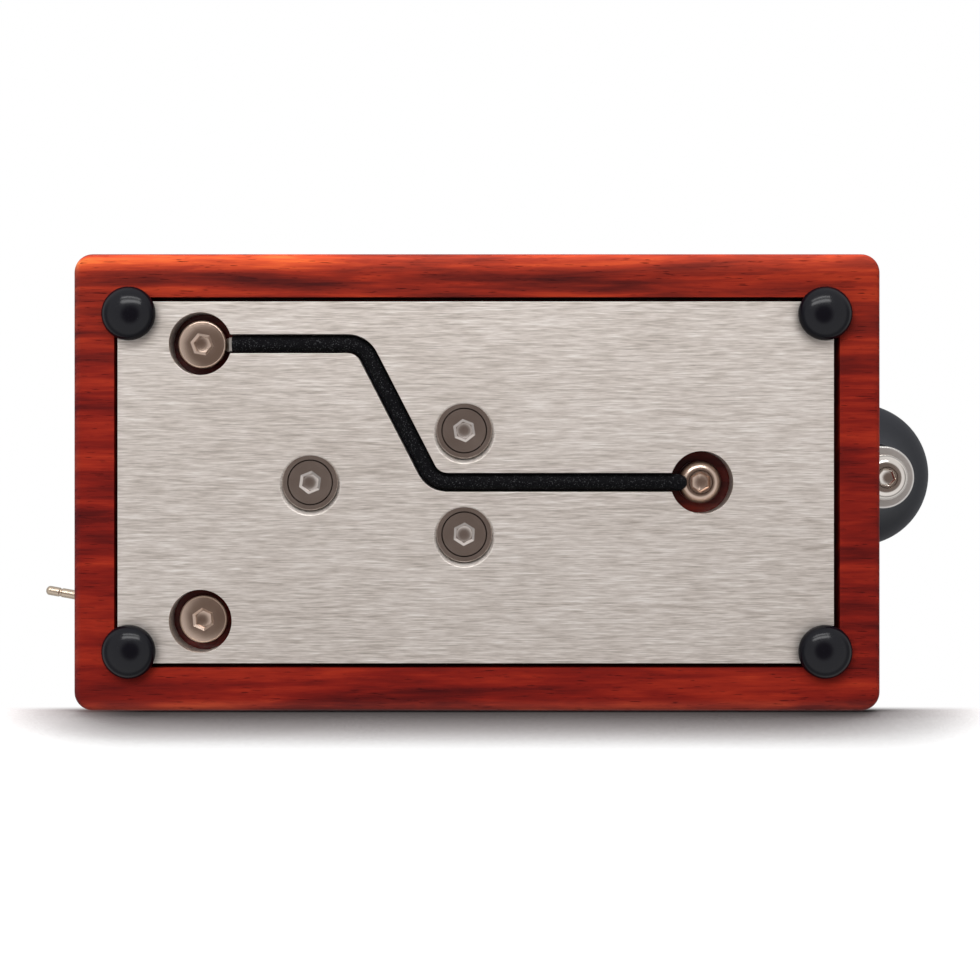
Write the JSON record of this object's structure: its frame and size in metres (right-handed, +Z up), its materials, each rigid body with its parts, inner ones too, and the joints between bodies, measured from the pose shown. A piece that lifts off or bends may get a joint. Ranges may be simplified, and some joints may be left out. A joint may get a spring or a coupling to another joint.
{
  "type": "straight telegraph key",
  "caption": "Straight telegraph key: wooden base with a steel plate below, sprung lever on pointed pivots, round knob, front contact, gap and tension adjusters, binding posts.",
  "frame": {"origin": "on the surface that the feet stand on, under the middle of the key's bounding box", "axes": "+X along the lever towards the knob, +Z up; left is -Y, right is +Y"},
  "size_m": [0.1526, 0.068, 0.0611],
  "materials": {
    "red_wood": "oiled, satin",
    "brushed_steel": "brushed",
    "polished_steel": "polished",
    "bright_steel": "bright, satin",
    "black_rubber": "smooth, glossy",
    "black_plastic": "satin",
    "black_sleeve": "braided sleeve",
    "yellow_brass": "turned, lacquered",
    "tinned_copper": "tinned",
    "silver": "fine silver contact"
  },
  "bodies": {
    "base": {"base_block": "red_wood", "base_plate": "brushed_steel", "foot_front_left": "black_rubber", "foot_front_right": "black_rubber", "foot_rear_left": "black_rubber", "foot_rear_right": "black_rubber", "frame_screw_rear": "bright_steel", "frame_screw_left": "bright_steel", "frame_screw_right": "bright_steel", "terminal_screw_left": "polished_steel", "terminal_collar_left": "yellow_brass", "terminal_washer_left": "yellow_brass", "terminal_screw_right": "polished_steel", "terminal_collar_right": "yellow_brass", "terminal_washer_right": "yellow_brass", "connection_pin": "polished_steel", "contact_screw": "polished_steel", "contact_post": "yellow_brass", "contact_disc": "silver", "link_wire": "black_sleeve", "lug_terminal": "tinned_copper", "lug_contact": "tinned_copper", "link_strip": "yellow_brass", "bearing_frame": "brushed_steel", "anvil": "polished_steel", "tension_spring": "bright_steel", "tension_stud": "polished_steel", "spring_cup": "yellow_brass"},
    "lever": {"lever": "brushed_steel", "lever_axle": "polished_steel", "lever_contact": "silver", "knob": "black_plastic", "knob_screw": "polished_steel"},
    "gap_screw": {"gap_screw": "yellow_brass"},
    "gap_lock_nut": {"gap_lock_nut": "yellow_brass"},
    "tension_nut": {"tension_nut": "yellow_brass"},
    "terminal_nut_left": {"terminal_nut_left": "yellow_brass"},
    "terminal_nut_right": {"terminal_nut_right": "yellow_brass"},
    "pivot_screw_left": {"pivot_screw_left": "polished_steel"},
    "pivot_screw_right": {"pivot_screw_right": "polished_steel"},
    "pivot_lock_nut_left": {"pivot_lock_nut_left": "bright_steel"},
    "pivot_lock_nut_right": {"pivot_lock_nut_right": "bright_steel"}
  },
  "joints": [
    {"name": "lever_rock", "type": "hinge", "parent": "base", "child": "lever", "pos_m": [-0.00701, 0, 0.0393], "axis": [0, 1, 0], "range_deg": [0, 1.3], "stiffness_Nm_per_rad": 0.317, "springref_deg": -20.63, "deforming": ["tension_spring"]},
    {"name": "gap_screw_turn", "type": "hinge", "parent": "lever", "child": "gap_screw", "pos_m": [-0.03411, 0, 0.0464], "axis": [0, 0, 1], "range_deg": [-315, 360]},
    {"name": "gap_lock_nut_turn", "type": "hinge", "parent": "lever", "child": "gap_lock_nut", "pos_m": [-0.03411, 0, 0.0436], "axis": [0, 0, 1], "range_deg": [0, 150]},
    {"name": "tension_nut_turn", "type": "hinge", "parent": "base", "child": "tension_nut", "pos_m": [-0.01851, 0, 0.0532], "axis": [0, 0, 1], "range_deg": [-1080, 720]},
    {"name": "terminal_nut_left_turn", "type": "hinge", "parent": "base", "child": "terminal_nut_left", "pos_m": [-0.04621, -0.0206, 0.029], "axis": [0, 0, 1], "range_deg": [0, 1080]},
    {"name": "terminal_nut_right_turn", "type": "hinge", "parent": "base", "child": "terminal_nut_right", "pos_m": [-0.04621, 0.0206, 0.0308], "axis": [0, 0, 1], "range_deg": [0, 1080]},
    {"name": "pivot_screw_left_turn", "type": "hinge", "parent": "base", "child": "pivot_screw_left", "pos_m": [-0.00701, -0.012, 0.0393], "axis": [0, -1, 0], "range_deg": [-90, 90]},
    {"name": "pivot_screw_right_turn", "type": "hinge", "parent": "base", "child": "pivot_screw_right", "pos_m": [-0.00701, 0.012, 0.0393], "axis": [0, 1, 0], "range_deg": [-90, 90]},
    {"name": "pivot_lock_nut_left_turn", "type": "hinge", "parent": "base", "child": "pivot_lock_nut_left", "pos_m": [-0.00701, -0.0123, 0.0393], "axis": [0, -1, 0], "range_deg": [0, 90]},
    {"name": "pivot_lock_nut_right_turn", "type": "hinge", "parent": "base", "child": "pivot_lock_nut_right", "pos_m": [-0.00701, 0.0123, 0.0393], "axis": [0, 1, 0], "range_deg": [0, 90]}
  ]
}
